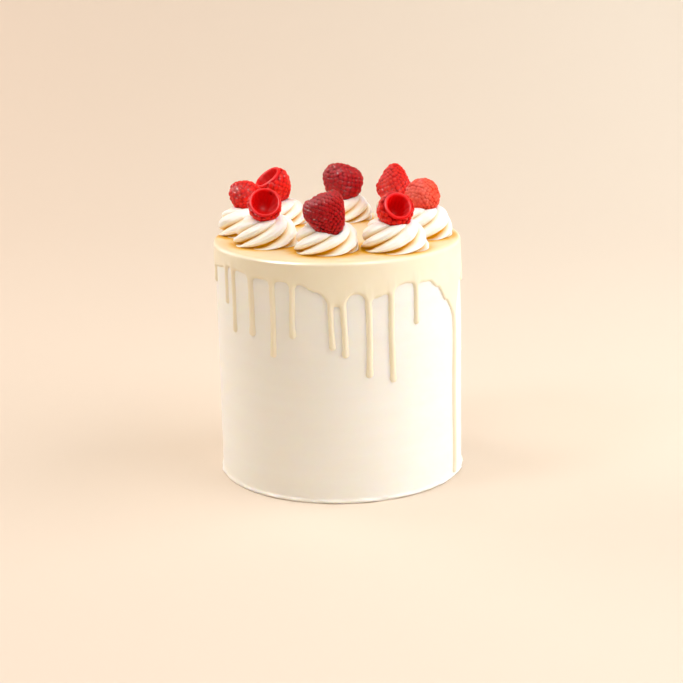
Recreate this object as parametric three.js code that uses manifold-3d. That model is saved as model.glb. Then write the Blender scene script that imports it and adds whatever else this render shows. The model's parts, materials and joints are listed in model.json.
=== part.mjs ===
// A tall round cake in white buttercream, with a cream glaze that drips down its side
// and a ring of eight piped rosettes, each carrying one raspberry.
// Units are millimetres. +Z is up, the origin is the centre of the cake's foot, and -Y is
// the front. An azimuth is measured from the front, positive towards the right (+X).

import * as THREE from 'three';
import { mergeVertices } from 'three/addons/utils/BufferGeometryUtils.js';
import Module from 'manifold-3d';

const wasm = await Module();
wasm.setup();

// The air left between two pieces that touch.
const GAP = 0.35;

// Cake body
const CAKE_RADIUS = 77.5;
const CAKE_HEIGHT = 148.5;
const CAKE_SEGMENTS = 50;
const CAKE_EDGE_ROUNDING = 2.4;
const FOOT_INSET = 0.9;
const FOOT_BULGE = 0.8;
const FOOT_RIDGE_HEIGHT = 2.2;
const SIDE_INSET = 0.15;
const SIDE_UNEVENNESS = 0.12;
// Above this height the cake narrows and leans to the left, by this much at its top.
const LEAN_START = 95;
const TOP_NARROWING = 1.0;
const TOP_LEAN = 0.7;

// Glaze: a skin over the top, a band down the side, and drips below the band
const GLAZE_TOP = 150.5;
const GLAZE_RADIUS = 78.7;
const GLAZE_SHOULDER = 2.6;
const GLAZE_SEGMENTS = 70;
const DRIP_WIDTH = 3.9;
const DRIP_THICKNESS = 1.9;
const DRIP_TIP_SWELL = 0.16;

// Every drip, as its azimuth in degrees and the height of its tip.
const DRIPS = [
  [-62, 117], [-55.5, 100.7], [-43, 101.4], [-31, 90.4], [-21, 103.2],
  [-3.5, 97.2], [2.1, 92.3], [13.2, 79.1], [24, 74.8], [37, 108.4], [65.6, 2.6],
  [84, 122], [97, 70], [111, 102], [126, 61], [143, 98], [157, 88],
  [168, 52], [181, 101], [194, 77], [208, 91], [219, 66], [231, 104],
  [246, 83], [261, 72], [281, 126],
];

// Height of the band's lower edge at a few azimuths; between them it follows a smooth curve.
const BAND_EDGE = [
  [-58.2, 140.3], [-36.3, 137.5], [-25.8, 137.4], [-16.9, 136.2], [-10.4, 132.3],
  [-0.6, 124], [7.2, 130.9], [15.6, 127.5], [31.4, 134.2], [45.3, 132.6], [51, 127.7],
  [57.6, 117.7], [65.6, 107], [74, 124], [88, 133], [112, 129], [136, 136], [162, 130], [188, 134],
  [214, 127], [238, 135], [264, 131], [286, 137],
];

// Rosettes
const ROSETTE_STRANDS = 6;
const ROSETTE_TWIST = THREE.MathUtils.degToRad(165);
const STRAND_POINTS = 6;
const CREST_ROUNDNESS = 0.7;
const VALLEY_DEPTH = 0.27;
const FINGER_SHORTENING = 0.12;
const FINGER_SWAY = THREE.MathUtils.degToRad(6);
const STRAND_CROWDING = THREE.MathUtils.degToRad(5);

// One line for each rosette, counter-clockwise from the front: centre x and y,
// radius, height and the azimuth of its first strand.
const ROSETTES = [
  { x: -6.9, y: -43.0, radius: 22.4, height: 17.4, phase: -9 },
  { x: 33.7, y: -40.0, radius: 21.8, height: 18.6, phase: -2 },
  { x: 53.2, y: -4.0, radius: 20.2, height: 19.4, phase: 12 },
  { x: 40.2, y: 39.6, radius: 18.4, height: 19.2, phase: -20 },
  { x: 4.5, y: 56.0, radius: 19.2, height: 17.0, phase: 17 },
  { x: -37.0, y: 46.5, radius: 19.8, height: 15.4, phase: 5 },
  { x: -57.2, y: 14.5, radius: 22.4, height: 16.6, phase: 24 },
  { x: -44.5, y: -19.5, radius: 21.6, height: 17.8, phase: -8 },
];

// Raspberries, in the order of the rosettes: centre, direction of the tip, width,
// length, how much it narrows towards the tip, and the radius of the empty core as a
// share of the width, or 0 where the core is hidden.
const DRUPELET_COLUMNS = 21;
const DRUPELET_RELIEF = 0.7;
const SEAT_SEGMENTS = 20;
const BERRY_BELOW = 0.3;
const BERRY_ABOVE = 0.68;
const RIM_WIDTH = 0.08;
const BERRIES = [
  { at: [-6.4, -50.5, 172.9], tip: [0.42, -0.32, -0.85], width: 26.5, length: 29, taper: 0.28, core: 0 },
  { at: [33.8, -41.5, 172.5], tip: [-0.30, 0.76, -0.57], width: 23, length: 21.5, taper: 0.1, core: 0.3 },
  { at: [54.2, -4.5, 174.1], tip: [0.36, -0.86, -0.30], width: 22.6, length: 23, taper: 0.15, core: 0 },
  { at: [37.2, 38.0, 178.0], tip: [0.10, -0.15, 0.98], width: 23.4, length: 25.6, taper: 0.38, core: 0 },
  { at: [2.4, 54.0, 176.0], tip: [-0.62, -0.30, 0.72], width: 27, length: 28, taper: 0.2, core: 0 },
  { at: [-39.8, 46.0, 173.4], tip: [0.55, 0.25, -0.79], width: 24, length: 23, taper: 0.12, core: 0.32 },
  { at: [-59.7, 16.0, 175.1], tip: [-0.62, -0.52, 0.58], width: 20.5, length: 21, taper: 0.12, core: 0 },
  { at: [-44.7, -22.5, 173.7], tip: [-0.10, 0.82, -0.56], width: 21.6, length: 20, taper: 0.08, core: 0.36 },
];

// Point at a radius and azimuth (radians) from the axis.
function polar(radius, azimuth, z) {
  return new THREE.Vector3(radius * Math.sin(azimuth), -radius * Math.cos(azimuth), z);
}

// Moves a point of the cake or its glaze to where the leaning upper part has it.
function leaned(place) {
  const share = Math.max(0, (place.z - LEAN_START) / (CAKE_HEIGHT - LEAN_START));
  const narrowed = 1 - TOP_NARROWING * share / CAKE_RADIUS;
  return new THREE.Vector3(place.x * narrowed - TOP_LEAN * share, place.y * narrowed, place.z);
}

// Closed body with shared corners: drops the triangles that a pole shrinks to nothing.
function weld(geometry) {
  geometry.deleteAttribute('normal');
  geometry.deleteAttribute('uv');
  const merged = mergeVertices(geometry, 1e-4);
  const corners = merged.index.array;
  const kept = [];
  for (let t = 0; t < corners.length; t += 3) {
    const [a, b, c] = [corners[t], corners[t + 1], corners[t + 2]];
    if (a !== b && b !== c && c !== a) {
      kept.push(a, b, c);
    }
  }
  merged.setIndex(kept);
  return merged;
}

// Turned body: a profile of [radius, z] pairs, from the axis below to the axis above.
// shape(column, row, azimuth, radius, z) gives the place of each point.
function turned(profile, segments, shape) {
  const points = profile.map(([radius, z]) => new THREE.Vector2(radius, z));
  const geometry = new THREE.LatheGeometry(points, segments);
  const position = geometry.attributes.position;
  for (let column = 0; column <= segments; column += 1) {
    const azimuth = (column % segments) / segments * 2 * Math.PI;
    for (let row = 0; row < points.length; row += 1) {
      const place = shape(column, row, azimuth, points[row].x, points[row].y);
      position.setXYZ(column * points.length + row, place.x, place.y, place.z);
    }
  }
  return weld(geometry);
}

function toSolid(geometry) {
  return new wasm.Manifold(new wasm.Mesh({
    numProp: 3,
    vertProperties: Float32Array.from(geometry.attributes.position.array),
    triVerts: Uint32Array.from(geometry.index.array),
  }));
}

function toGeometry(solid) {
  const mesh = solid.getMesh();
  const geometry = new THREE.BufferGeometry();
  geometry.setAttribute('position', new THREE.BufferAttribute(mesh.vertProperties, 3));
  geometry.setIndex(new THREE.BufferAttribute(mesh.triVerts, 1));
  return geometry;
}

// Slow hand-made unevenness of a smoothed side, between -1 and 1.
function wobble(azimuth, z) {
  const slow = Math.sin(2 * azimuth + 0.031 * z);
  const quick = Math.sin(5 * azimuth + 1.3 - 0.052 * z);
  return 0.6 * slow + 0.4 * quick;
}

// Smooth closed curve through [azimuth in degrees, height] pairs.
function ringCurve(pairs) {
  const knots = pairs.map(([degrees, height]) => [THREE.MathUtils.degToRad(degrees), height]);
  return (azimuth) => {
    const turn = 2 * Math.PI;
    const start = knots[0][0];
    const angle = start + THREE.MathUtils.euclideanModulo(azimuth - start, turn);
    let k = knots.length - 1;
    while (knots[k][0] > angle) {
      k -= 1;
    }
    const from = knots[k];
    const to = k + 1 < knots.length ? knots[k + 1] : [start + turn, knots[0][1]];
    const share = (angle - from[0]) / (to[0] - from[0]);
    return THREE.MathUtils.lerp(from[1], to[1], THREE.MathUtils.smoothstep(share, 0, 1));
  };
}

// Buttercream body: flat foot, a thin ridge left by the scraper, a straight side.
function cakeGeometry() {
  const profile = [
    [0, 0],
    [CAKE_RADIUS - FOOT_INSET, 0],
    [CAKE_RADIUS + FOOT_BULGE, FOOT_RIDGE_HEIGHT * 0.5],
    [CAKE_RADIUS + FOOT_BULGE * 0.6, FOOT_RIDGE_HEIGHT],
    [CAKE_RADIUS - SIDE_INSET, FOOT_RIDGE_HEIGHT * 2],
    [CAKE_RADIUS - SIDE_INSET, LEAN_START],
    [CAKE_RADIUS - SIDE_INSET, CAKE_HEIGHT - CAKE_EDGE_ROUNDING],
    [CAKE_RADIUS - CAKE_EDGE_ROUNDING * 0.3, CAKE_HEIGHT - CAKE_EDGE_ROUNDING * 0.3],
    [CAKE_RADIUS - CAKE_EDGE_ROUNDING, CAKE_HEIGHT],
    [0, CAKE_HEIGHT],
  ];
  return turned(profile, CAKE_SEGMENTS, (column, row, azimuth, radius, z) => {
    const onRidge = z > 0 && z <= FOOT_RIDGE_HEIGHT;
    const onSide = z > FOOT_RIDGE_HEIGHT && z < CAKE_HEIGHT;
    let push = 0;
    if (onRidge) {
      push = FOOT_BULGE * 0.6 * Math.sin(7 * azimuth) * Math.cos(4 * azimuth + 1);
    } else if (onSide) {
      push = SIDE_UNEVENNESS * wobble(azimuth, z);
    }
    return leaned(polar(radius + push, azimuth, z));
  });
}

// Glaze skin: over the top, round the shoulder and down to the band's wavy edge.
function glazeSkinGeometry() {
  const edge = ringCurve(BAND_EDGE);
  const inside = CAKE_RADIUS + GAP;
  const underside = CAKE_HEIGHT + GAP;
  const profile = [
    [0, underside],
    [inside, underside],
    [inside + 0.1, 0.8],
    [GLAZE_RADIUS - 0.3, 0],
    [GLAZE_RADIUS, 1.6],
    [GLAZE_RADIUS, GLAZE_TOP - GLAZE_SHOULDER],
    [GLAZE_RADIUS - GLAZE_SHOULDER * 0.3, GLAZE_TOP - GLAZE_SHOULDER * 0.3],
    [GLAZE_RADIUS - GLAZE_SHOULDER, GLAZE_TOP],
    [0, GLAZE_TOP],
  ];
  const edgeRows = [2, 3, 4];
  return turned(profile, GLAZE_SEGMENTS, (column, row, azimuth, radius, z) => {
    const lift = edgeRows.includes(row) ? edge(azimuth) : 0;
    return leaned(polar(radius, azimuth, z + lift));
  });
}

// One drip: a flattened round rope with a swollen tip, from inside the band downwards.
function dripGeometry(azimuthDegrees, tipHeight) {
  const azimuth = THREE.MathUtils.degToRad(azimuthDegrees);
  const radius = DRIP_WIDTH / 2;
  const top = ringCurve(BAND_EDGE)(azimuth) + 4;
  const length = top - tipHeight;
  const geometry = new THREE.CapsuleGeometry(radius, length - 2 * radius, 2, 6, 1);
  geometry.rotateX(Math.PI / 2);
  const position = geometry.attributes.position;
  for (let k = 0; k < position.count; k += 1) {
    const nearTip = position.getZ(k) < 0 ? 1 + DRIP_TIP_SWELL : 1;
    position.setX(k, position.getX(k) * nearTip);
    position.setY(k, position.getY(k) * DRIP_THICKNESS / DRIP_WIDTH * nearTip);
  }
  const centre = polar(CAKE_RADIUS + 0.5 + DRIP_THICKNESS / 2, azimuth, tipHeight + length / 2);
  geometry.rotateZ(azimuth);
  geometry.translate(centre.x, centre.y, centre.z);
  for (let k = 0; k < position.count; k += 1) {
    const place = leaned(new THREE.Vector3().fromBufferAttribute(position, k));
    position.setXYZ(k, place.x, place.y, place.z);
  }
  return weld(geometry);
}

function glazeGeometry() {
  let glaze = toSolid(glazeSkinGeometry());
  for (const [azimuthDegrees, tipHeight] of DRIPS) {
    glaze = glaze.add(toSolid(dripGeometry(azimuthDegrees, tipHeight)));
  }
  return toGeometry(glaze);
}

// Furthest that a rosette may reach in a direction before it meets a neighbour:
// both stop at the plane halfway between their centres.
function reach(rosette, azimuth) {
  let limit = Infinity;
  for (const other of ROSETTES) {
    if (other !== rosette) {
      const dx = other.x - rosette.x;
      const dy = other.y - rosette.y;
      const half = Math.hypot(dx, dy) / 2 - GAP / 2;
      const towards = Math.cos(azimuth - Math.atan2(dx, -dy));
      limit = towards > 0.01 ? Math.min(limit, half / towards) : limit;
    }
  }
  return limit;
}

// A number between -1 and 1 that looks drawn by chance, the same on every run.
function draw(strand, rosetteNumber) {
  return Math.sin(12.9 * strand + 4.1 * rosetteNumber + 1);
}

// Piped swirl: strands rise from the foot and turn counter-clockwise into the crown.
// Along a strand: share of the height, share of the radius, share of the twist, the
// depth of the valleys beside it, and how far its end is a separate finger.
const SWIRL_ROWS = [
  [0, 0, 0, 0, 0],
  [0, 0.95, 0, 1.7, 1],
  [0.07, 1.0, 0.16, 1.55, 0.9],
  [0.22, 0.97, 0.31, 1.25, 0.6],
  [0.44, 0.9, 0.48, 1.0, 0.3],
  [0.68, 0.8, 0.65, 0.9, 0.1],
  [0.88, 0.62, 0.81, 0.85, 0],
  [0.98, 0.37, 0.92, 0.7, 0],
  [1, 0.16, 1, 0.5, 0],
  [0.97, 0, 1, 0, 0],
];

function rosetteGeometry(rosette, number) {
  const segments = ROSETTE_STRANDS * STRAND_POINTS;
  const profile = SWIRL_ROWS.map(([up, out]) => [out * rosette.radius, up * rosette.height]);
  const floor = GLAZE_TOP + GAP;
  const edge = GLAZE_RADIUS - TOP_NARROWING - GLAZE_SHOULDER * 0.5;
  return turned(profile, segments, (column, row, azimuth, radius, z) => {
    const [, , turn, valley, finger] = SWIRL_ROWS[row];
    const strand = Math.round((column % segments) / STRAND_POINTS) % ROSETTE_STRANDS;
    const chance = draw(strand, number);
    const crest = Math.abs(Math.cos(column / STRAND_POINTS * Math.PI)) ** CREST_ROUNDNESS;
    const cut = VALLEY_DEPTH * valley * (1 - crest);
    const shortened = FINGER_SHORTENING * finger * crest * (0.5 + 0.5 * chance);
    const crowded = STRAND_CROWDING * Math.sin(2 * azimuth + number);
    const swayed = FINGER_SWAY * finger * crest * chance;
    const start = azimuth + THREE.MathUtils.degToRad(rosette.phase) + crowded + swayed;
    const twisted = start + ROSETTE_TWIST * turn;
    const swirled = Math.min(radius * (1 - cut - shortened), reach(rosette, twisted));
    const place = polar(swirled, twisted, z + floor);
    place.add(new THREE.Vector3(rosette.x, rosette.y, 0));
    const inward = Math.min(1, edge / Math.hypot(place.x, place.y));
    return new THREE.Vector3(place.x * inward, place.y * inward, place.z);
  });
}

// Thimble outline of a raspberry about its own axis, base below and tip above.
function berryProfile(width, length, taper, core) {
  const below = BERRY_BELOW * length;
  const above = BERRY_ABOVE * length;
  const rows = [];
  let lowest = THREE.MathUtils.degToRad(-66);
  if (core > 0) {
    lowest = -Math.acos((2 * (core + RIM_WIDTH)) ** (1 / 0.85));
    const rim = below * Math.sin(lowest);
    rows.push([0, 0.3 * length], [0.5 * core * width, 0.24 * length]);
    rows.push([0.87 * core * width, -0.05 * length]);
    rows.push([(core + 0.03) * width, rim - 0.04 * length]);
  } else {
    rows.push([0, -below * 0.9], [0.24 * width, -below * 0.95]);
  }
  const highest = THREE.MathUtils.degToRad(74.4);
  const steps = Math.round((highest - lowest) / THREE.MathUtils.degToRad(15.6));
  for (let k = 0; k <= steps; k += 1) {
    const angle = THREE.MathUtils.lerp(lowest, highest, k / steps);
    const narrowed = 1 - taper * Math.max(0, Math.sin(angle));
    const rise = angle < 0 ? below : above;
    rows.push([width / 2 * Math.cos(angle) ** 0.85 * narrowed, rise * Math.sin(angle)]);
  }
  rows.push([0, above]);
  const middle = (above - below) / 2;
  return rows.map(([r, z]) => [r, z - middle]);
}

// Stands a body made about +Z so that +Z points along the berry's tip.
function aimed(geometry, berry) {
  const tip = new THREE.Vector3(...berry.tip).normalize();
  const turn = new THREE.Quaternion().setFromUnitVectors(new THREE.Vector3(0, 0, 1), tip);
  geometry.applyQuaternion(turn);
  geometry.translate(...berry.at);
  return geometry;
}

// Raspberry: each row is turned by half a column, so that the points lie in triangles,
// and every third point is the raised top of a drupelet with six low ones round it.
function berryGeometry(berry) {
  const inset = 2 * DRUPELET_RELIEF;
  const profile = berryProfile(berry.width - inset, berry.length - inset, berry.taper, berry.core);
  const firstOuterRow = berry.core > 0 ? 4 : 2;
  const geometry = turned(profile, DRUPELET_COLUMNS, (column, row, azimuth, radius, z) => {
    const turnedAzimuth = azimuth + row * Math.PI / DRUPELET_COLUMNS;
    const outer = row >= firstOuterRow && radius > 0;
    const peak = THREE.MathUtils.euclideanModulo(column - row, 3) === 0;
    const sign = peak ? 1 : -1;
    const relief = outer ? sign * DRUPELET_RELIEF : 0;
    const tilt = Math.atan2(z, radius);
    return polar(radius + relief * Math.cos(tilt), turnedAzimuth, z + relief * Math.sin(tilt));
  });
  return aimed(geometry, berry);
}

// Room for a berry and the gap round it, to be pressed out of its rosette.
function berrySeat(berry) {
  const grow = 2 * GAP;
  const profile = berryProfile(berry.width + grow, berry.length + grow, berry.taper, 0);
  const geometry = turned(profile, SEAT_SEGMENTS, (column, row, azimuth, r, z) => polar(r, azimuth, z));
  return aimed(geometry, berry);
}

const buttercream = new THREE.MeshStandardMaterial({ color: 0xf7f0e2, roughness: 0.55, metalness: 0 });
const glazeFinish = new THREE.MeshStandardMaterial({ color: 0xf0dcb4, roughness: 0.25, metalness: 0 });
const pipedCream = new THREE.MeshStandardMaterial({ color: 0xfaf4e8, roughness: 0.5, metalness: 0 });
const berryRed = new THREE.MeshStandardMaterial({ color: 0xc2141c, roughness: 0.3, metalness: 0 });

const group = new THREE.Group();

function add(name, geometry, material) {
  geometry.computeVertexNormals();
  const mesh = new THREE.Mesh(geometry, material.clone());
  mesh.name = name;
  group.add(mesh);
}

add('cake', cakeGeometry(), buttercream);
add('drip_glaze', glazeGeometry(), glazeFinish);
ROSETTES.forEach((rosette, k) => {
  const swirl = toSolid(rosetteGeometry(rosette, k));
  const seated = swirl.subtract(toSolid(berrySeat(BERRIES[k])));
  add(`rosette_${k + 1}`, toGeometry(seated), pipedCream);
});
BERRIES.forEach((berry, k) => {
  add(`raspberry_${k + 1}`, berryGeometry(berry), berryRed);
});

export default group;
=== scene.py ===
# %% [markdown]
# # A raspberry drip cake
# This lesson dresses a tall round cake: white buttercream on a straight side, an ivory
# glaze that runs down it in drips, a ring of eight piped rosettes and a raspberry on each.
# The frame holds the plain solids of every piece at their real size. Each smooth,
# detailed piece made here takes the place of one of them. One Blender unit is a metre, so
# sizes are written in millimetres and multiplied by MM.

# %% Load the frame
import bpy
import json
import math
import numpy as np
from mathutils import Matrix, Vector

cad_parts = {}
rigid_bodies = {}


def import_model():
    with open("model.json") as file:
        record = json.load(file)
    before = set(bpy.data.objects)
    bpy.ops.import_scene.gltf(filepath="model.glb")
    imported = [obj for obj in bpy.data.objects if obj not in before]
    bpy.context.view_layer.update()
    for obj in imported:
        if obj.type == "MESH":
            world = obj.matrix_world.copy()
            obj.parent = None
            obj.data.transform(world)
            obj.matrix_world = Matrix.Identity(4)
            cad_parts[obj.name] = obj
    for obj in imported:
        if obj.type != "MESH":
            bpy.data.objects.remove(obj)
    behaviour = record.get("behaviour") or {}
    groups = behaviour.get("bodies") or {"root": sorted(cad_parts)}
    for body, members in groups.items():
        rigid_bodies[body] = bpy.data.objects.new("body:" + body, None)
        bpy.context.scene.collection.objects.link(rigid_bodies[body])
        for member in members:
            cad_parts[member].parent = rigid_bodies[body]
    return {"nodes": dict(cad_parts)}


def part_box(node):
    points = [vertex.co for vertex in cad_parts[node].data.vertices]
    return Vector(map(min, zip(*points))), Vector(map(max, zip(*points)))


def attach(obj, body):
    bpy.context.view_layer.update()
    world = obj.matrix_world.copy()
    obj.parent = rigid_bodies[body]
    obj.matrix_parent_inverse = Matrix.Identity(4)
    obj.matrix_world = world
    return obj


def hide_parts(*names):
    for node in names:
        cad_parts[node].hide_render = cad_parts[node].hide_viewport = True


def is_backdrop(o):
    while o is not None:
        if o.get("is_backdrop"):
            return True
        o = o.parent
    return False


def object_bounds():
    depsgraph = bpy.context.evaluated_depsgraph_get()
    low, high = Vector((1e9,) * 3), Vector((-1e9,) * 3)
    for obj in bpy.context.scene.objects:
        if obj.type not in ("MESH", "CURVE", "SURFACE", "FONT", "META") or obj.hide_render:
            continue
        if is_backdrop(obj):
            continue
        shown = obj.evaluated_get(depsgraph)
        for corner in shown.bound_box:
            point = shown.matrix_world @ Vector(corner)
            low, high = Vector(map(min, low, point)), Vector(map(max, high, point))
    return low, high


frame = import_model()
cad_box = [list(map(float, corner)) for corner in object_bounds()]
MM = 0.001
print("solids to dress:", len(frame["nodes"]), "box in mm:", np.round(np.array(cad_box) / MM, 1).tolist())

# %% [markdown]
# Node trees are used for materials and for shapes. One small function adds a node, with
# its settings and what goes into its sockets: a plain value, or a node or socket to link.
# A dictionary names the sockets, and a list fills them from the first. Most nodes of a
# shape do one step of sums, so the steps have short names here.

# %% One function for every node
def add(tree, kind, settings=None, inputs=None):
    node = tree.nodes.new(kind)
    for name, value in (settings or {}).items():
        setattr(node, name, value)
    for key, value in inputs.items() if isinstance(inputs, dict) else enumerate(inputs or []):
        if isinstance(value, bpy.types.Node):
            value = value.outputs[0]
        if isinstance(value, bpy.types.NodeSocket):
            tree.links.new(value, node.inputs[key])
        else:
            node.inputs[key].default_value = value
    return node


MATH = "ShaderNodeMath"
PLUS, MINUS, TIMES, OVER, POWER = (
    {"operation": word} for word in ("ADD", "SUBTRACT", "MULTIPLY", "DIVIDE", "POWER"))
SINE, COSINE, FLOOR, FRACTION = ({"operation": word} for word in ("SINE", "COSINE", "FLOOR", "FRACT"))
LARGER, ROOT, BELOW, TIMES_PLUS = (
    {"operation": word} for word in ("MAXIMUM", "SQRT", "LESS_THAN", "MULTIPLY_ADD"))


def linear(hex_colour):
    """An sRGB colour such as "f4e8d0" as the linear RGBA that Blender's sockets hold."""
    channels = [int(hex_colour[k:k + 2], 16) / 255 for k in (0, 2, 4)]
    return [c / 12.92 if c <= 0.04045 else ((c + 0.055) / 1.055) ** 2.4 for c in channels] + [1.0]


# %% [markdown]
# The camera stands where the photographer's did: about a metre away, a little above the
# cake, with a short telephoto lens, so the side looks straight and the top is a thin
# ellipse. The distance, tilt and roll are those that put the real cake's outline where
# the photograph has it.

# %% Camera
CAMERA_DISTANCE = 1061 * MM
CAMERA_TILT = math.radians(15.27)
CAMERA_ROLL = math.radians(-1.15)
AIM_HEIGHT = 83 * MM
LENS_MM = 87.34
FRAME_SHIFT = (0.0022, -0.0040)

back = Vector((0, -math.cos(CAMERA_TILT), math.sin(CAMERA_TILT)))
level_right = Vector((1, 0, 0))
level_up = back.cross(level_right)
turned_right = math.cos(CAMERA_ROLL) * level_right + math.sin(CAMERA_ROLL) * level_up
turned_up = -math.sin(CAMERA_ROLL) * level_right + math.cos(CAMERA_ROLL) * level_up
camera_data = bpy.data.cameras.new("camera")
camera_data.lens = LENS_MM
camera_data.sensor_width = 36
camera_data.shift_x, camera_data.shift_y = FRAME_SHIFT
camera = bpy.data.objects.new("camera", camera_data)
place = Matrix((turned_right, turned_up, back)).transposed().to_4x4()
place.translation = Vector((0, 0, AIM_HEIGHT)) + CAMERA_DISTANCE * back
camera.matrix_world = place
bpy.context.collection.objects.link(camera)
bpy.context.scene.camera = camera
bpy.context.scene.view_settings.view_transform = "Standard"
print("camera at", [round(v, 3) for v in place.translation])

# %% [markdown]
# The studio is one sheet of peach paper that runs from the table up behind the cake, so
# no edge shows. A big soft lamp on the right washes that side almost white, and one
# overhead fills the tops of the rosettes and draws the bright lip of the glaze. A lamp
# behind on the left draws the rim there, and a weak one in front fills the shadows. The
# first and the last would veil the wet berries with grey, so they are kept out of their
# shine. Two small bright lamps light only what shines, and give them sharp glints.

# %% Studio
def mesh_object(name, points, faces, material):
    mesh = bpy.data.meshes.new(name)
    mesh.from_pydata([tuple(p) for p in np.asarray(points, float)], [], [tuple(f) for f in faces])
    mesh.update()
    mesh.polygons.foreach_set("use_smooth", [True] * len(mesh.polygons))
    mesh.materials.append(material)
    piece = bpy.data.objects.new(name, mesh)
    bpy.context.collection.objects.link(piece)
    return piece


def new_material(name):
    material = bpy.data.materials.new(name)
    material.use_nodes = True
    material.node_tree.nodes.clear()
    return material, material.node_tree


def paper_backdrop():
    """Matt peach studio paper, softly mottled, with painted shade: darker at the left than at the right."""
    material, tree = new_material("peach studio paper")
    where = add(tree, "ShaderNodeTexCoord").outputs["Object"]
    place = add(tree, "ShaderNodeSeparateXYZ", inputs=[where])
    mottle = add(tree, "ShaderNodeTexNoise", inputs={"Vector": where, "Scale": 2.0, "Detail": 1.0})
    shifted = add(tree, MATH, TIMES_PLUS, [mottle, 0.08, place.outputs["X"]])
    # Painted shade: the paper is mixed darker towards the left and lighter towards the right.
    painted_light_to_right = add(tree, "ShaderNodeMapRange", inputs={
        "Value": shifted, "From Min": -0.45, "From Max": 0.45})
    tone = add(tree, "ShaderNodeMix", {"data_type": "RGBA"}, {
        "Factor": painted_light_to_right, "A": linear("d0bca8"), "B": linear("e0d4c4")})
    paper = add(tree, "ShaderNodeBsdfPrincipled",
                inputs={"Base Color": tone.outputs["Result"], "Roughness": 0.9})
    add(tree, "ShaderNodeOutputMaterial", inputs={"Surface": paper})
    return material


FLOOR_HALF_WIDTH = 3.0
FLOOR_FRONT = -1.6
BACK_WALL = 1.5
SWEEP_RADIUS = 0.9
WALL_HEIGHT = 2.6
sweep = [(FLOOR_FRONT, 0.0), (0.0, 0.0)]
sweep += [(BACK_WALL - SWEEP_RADIUS + SWEEP_RADIUS * math.sin(a), SWEEP_RADIUS * (1 - math.cos(a)))
          for a in np.linspace(0, math.pi / 2, 25)]
sweep += [(BACK_WALL, WALL_HEIGHT)]
points = [(x, y, z) for y, z in sweep for x in (-FLOOR_HALF_WIDTH, FLOOR_HALF_WIDTH)]
faces = [(2 * k, 2 * k + 1, 2 * k + 3, 2 * k + 2) for k in range(len(sweep) - 1)]
backdrop = mesh_object("paper_backdrop", points, faces, paper_backdrop())
backdrop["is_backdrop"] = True


def lamp(name, azimuth, height_angle, distance, size, power, colour, on_matt=True, in_gloss=True):
    """A square soft lamp aimed at the cake, from an azimuth (right positive) and a height."""
    data = bpy.data.lights.new(name, "AREA")
    data.shape = "SQUARE"
    data.size = size
    data.energy = power
    data.color = linear(colour)[:3]
    a, e = math.radians(azimuth), math.radians(height_angle)
    out = Vector((math.sin(a) * math.cos(e), -math.cos(a) * math.cos(e), math.sin(e)))
    light = bpy.data.objects.new(name, data)
    light.location = Vector((0, 0, AIM_HEIGHT)) + distance * out
    light.rotation_euler = out.to_track_quat("Z", "Y").to_euler()
    light.visible_diffuse = on_matt
    light.visible_glossy = in_gloss
    bpy.context.collection.objects.link(light)


# azimuth and height in degrees, distance and size in metres, power in watts
lamp("key_lamp", 80, 30, distance=1.7, size=2.0, power=36, colour="f8faff", in_gloss=False)
lamp("overhead_lamp", -50, 80, distance=1.5, size=1.2, power=12.8, colour="fff6e8")
lamp("fill_lamp", -40, 35, distance=1.8, size=1.4, power=2, colour="fff4e8", in_gloss=False)
lamp("rim_lamp", -122, 24, distance=1.7, size=0.9, power=12.5, colour="fdfdff")
lamp("left_glint_lamp", -62, 46, distance=1.8, size=0.42, power=165, colour="fffdf8", on_matt=False)
lamp("right_glint_lamp", 34, 52, distance=1.8, size=0.32, power=40, colour="fffdf8", on_matt=False)
world = bpy.data.worlds.new("studio air")
world.use_nodes = True
air = world.node_tree.nodes["Background"].inputs
air["Color"].default_value = linear("fbeedd")
air["Strength"].default_value = 0.29
bpy.context.scene.world = world
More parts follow.
